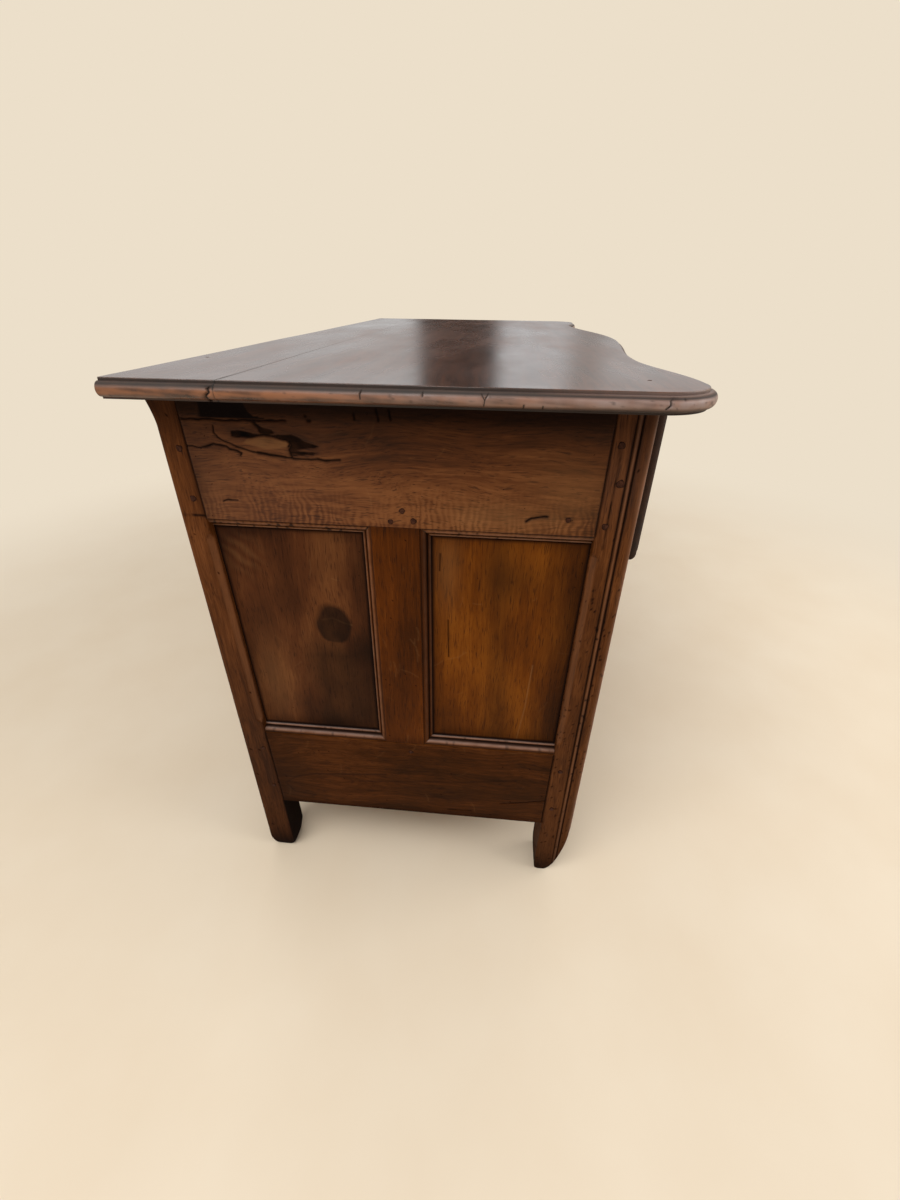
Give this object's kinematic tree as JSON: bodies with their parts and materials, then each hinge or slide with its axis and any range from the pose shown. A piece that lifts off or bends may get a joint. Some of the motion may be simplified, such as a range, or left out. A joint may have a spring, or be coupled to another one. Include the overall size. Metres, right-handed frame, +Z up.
{
  "type": "commode",
  "caption": "Walnut chest of drawers with a serpentine front, moulded overhanging top, frame-and-panel ends, lipped drawers on runners and brass bail pulls.",
  "frame": {"origin": "on the floor under the middle of the top", "axes": "+X along the length to the right as seen from the front, +Y to the back, +Z up; the drawers open towards -Y"},
  "size_m": [1.34, 0.617, 0.822],
  "materials": {
    "polished_walnut_top": "polished, dark",
    "waxed_walnut_frame": "waxed, satin",
    "waxed_walnut_panel": "waxed, satin",
    "waxed_walnut_drawer_front": "waxed, satin",
    "plain_poplar_lining": "planed, dry",
    "rough_poplar_back": "rough, dry",
    "old_brass": "aged, satin"
  },
  "bodies": {
    "carcase": {"top_board_front": "polished_walnut_top", "top_board_back": "polished_walnut_top", "front_post_left": "waxed_walnut_frame", "front_post_right": "waxed_walnut_frame", "back_post_left": "waxed_walnut_frame", "back_post_right": "waxed_walnut_frame", "end_top_rail_left": "waxed_walnut_frame", "end_bottom_rail_left": "waxed_walnut_frame", "end_muntin_left": "waxed_walnut_frame", "end_panel_front_left": "waxed_walnut_panel", "end_panel_back_left": "waxed_walnut_panel", "end_top_rail_right": "waxed_walnut_frame", "end_bottom_rail_right": "waxed_walnut_frame", "end_muntin_right": "waxed_walnut_frame", "end_panel_front_right": "waxed_walnut_panel", "end_panel_back_right": "waxed_walnut_panel", "front_top_rail": "waxed_walnut_drawer_front", "upper_divider": "waxed_walnut_drawer_front", "lower_divider": "waxed_walnut_drawer_front", "front_apron": "waxed_walnut_drawer_front", "back_top_rail": "rough_poplar_back", "back_bottom_rail": "rough_poplar_back", "back_board_lower": "rough_poplar_back", "back_board_upper": "rough_poplar_back", "runner_upper_left": "plain_poplar_lining", "runner_upper_right": "plain_poplar_lining", "runner_middle_left": "plain_poplar_lining", "runner_middle_right": "plain_poplar_lining", "runner_lower_left": "plain_poplar_lining", "runner_lower_right": "plain_poplar_lining"},
    "upper_drawer": {"upper_drawer_front": "waxed_walnut_drawer_front", "upper_drawer_side_left": "plain_poplar_lining", "upper_drawer_side_right": "plain_poplar_lining", "upper_drawer_back": "plain_poplar_lining", "upper_drawer_bottom": "plain_poplar_lining", "upper_pull_plate_left": "old_brass", "upper_pull_plate_right": "old_brass", "upper_escutcheon": "old_brass"},
    "upper_bail_left": {"upper_bail_left": "old_brass"},
    "upper_bail_right": {"upper_bail_right": "old_brass"},
    "middle_drawer": {"middle_drawer_front": "waxed_walnut_drawer_front", "middle_drawer_side_left": "plain_poplar_lining", "middle_drawer_side_right": "plain_poplar_lining", "middle_drawer_back": "plain_poplar_lining", "middle_drawer_bottom": "plain_poplar_lining", "middle_pull_plate_left": "old_brass", "middle_pull_plate_right": "old_brass", "middle_escutcheon": "old_brass"},
    "middle_bail_left": {"middle_bail_left": "old_brass"},
    "middle_bail_right": {"middle_bail_right": "old_brass"},
    "lower_drawer": {"lower_drawer_front": "waxed_walnut_drawer_front", "lower_drawer_side_left": "plain_poplar_lining", "lower_drawer_side_right": "plain_poplar_lining", "lower_drawer_back": "plain_poplar_lining", "lower_drawer_bottom": "plain_poplar_lining", "lower_pull_plate_left": "old_brass", "lower_pull_plate_right": "old_brass", "lower_escutcheon": "old_brass"},
    "lower_bail_left": {"lower_bail_left": "old_brass"},
    "lower_bail_right": {"lower_bail_right": "old_brass"}
  },
  "joints": [
    {"name": "upper_drawer_slide", "type": "slide", "parent": "carcase", "child": "upper_drawer", "axis": [0, -1, 0], "range_m": [-0.01, 0.37]},
    {"name": "upper_bail_left_swing", "type": "hinge", "parent": "upper_drawer", "child": "upper_bail_left", "pos_m": [-0.33314, -0.26288, 0.709], "axis": [-0.9968, 0.0796, 0], "range_deg": [0, 80]},
    {"name": "upper_bail_right_swing", "type": "hinge", "parent": "upper_drawer", "child": "upper_bail_right", "pos_m": [0.33314, -0.26288, 0.709], "axis": [-0.9968, -0.0796, 0], "range_deg": [0, 80]},
    {"name": "middle_drawer_slide", "type": "slide", "parent": "carcase", "child": "middle_drawer", "axis": [0, -1, 0], "range_m": [0, 0.38]},
    {"name": "middle_bail_left_swing", "type": "hinge", "parent": "middle_drawer", "child": "middle_bail_left", "pos_m": [-0.33314, -0.25288, 0.511], "axis": [-0.9968, 0.0796, 0], "range_deg": [0, 80]},
    {"name": "middle_bail_right_swing", "type": "hinge", "parent": "middle_drawer", "child": "middle_bail_right", "pos_m": [0.33314, -0.25288, 0.511], "axis": [-0.9968, -0.0796, 0], "range_deg": [0, 80]},
    {"name": "lower_drawer_slide", "type": "slide", "parent": "carcase", "child": "lower_drawer", "axis": [0, -1, 0], "range_m": [0, 0.38]},
    {"name": "lower_bail_left_swing", "type": "hinge", "parent": "lower_drawer", "child": "lower_bail_left", "pos_m": [-0.33314, -0.25288, 0.306], "axis": [-0.9968, 0.0796, 0], "range_deg": [0, 80]},
    {"name": "lower_bail_right_swing", "type": "hinge", "parent": "lower_drawer", "child": "lower_bail_right", "pos_m": [0.33314, -0.25288, 0.306], "axis": [-0.9968, -0.0796, 0], "range_deg": [0, 80]}
  ]
}
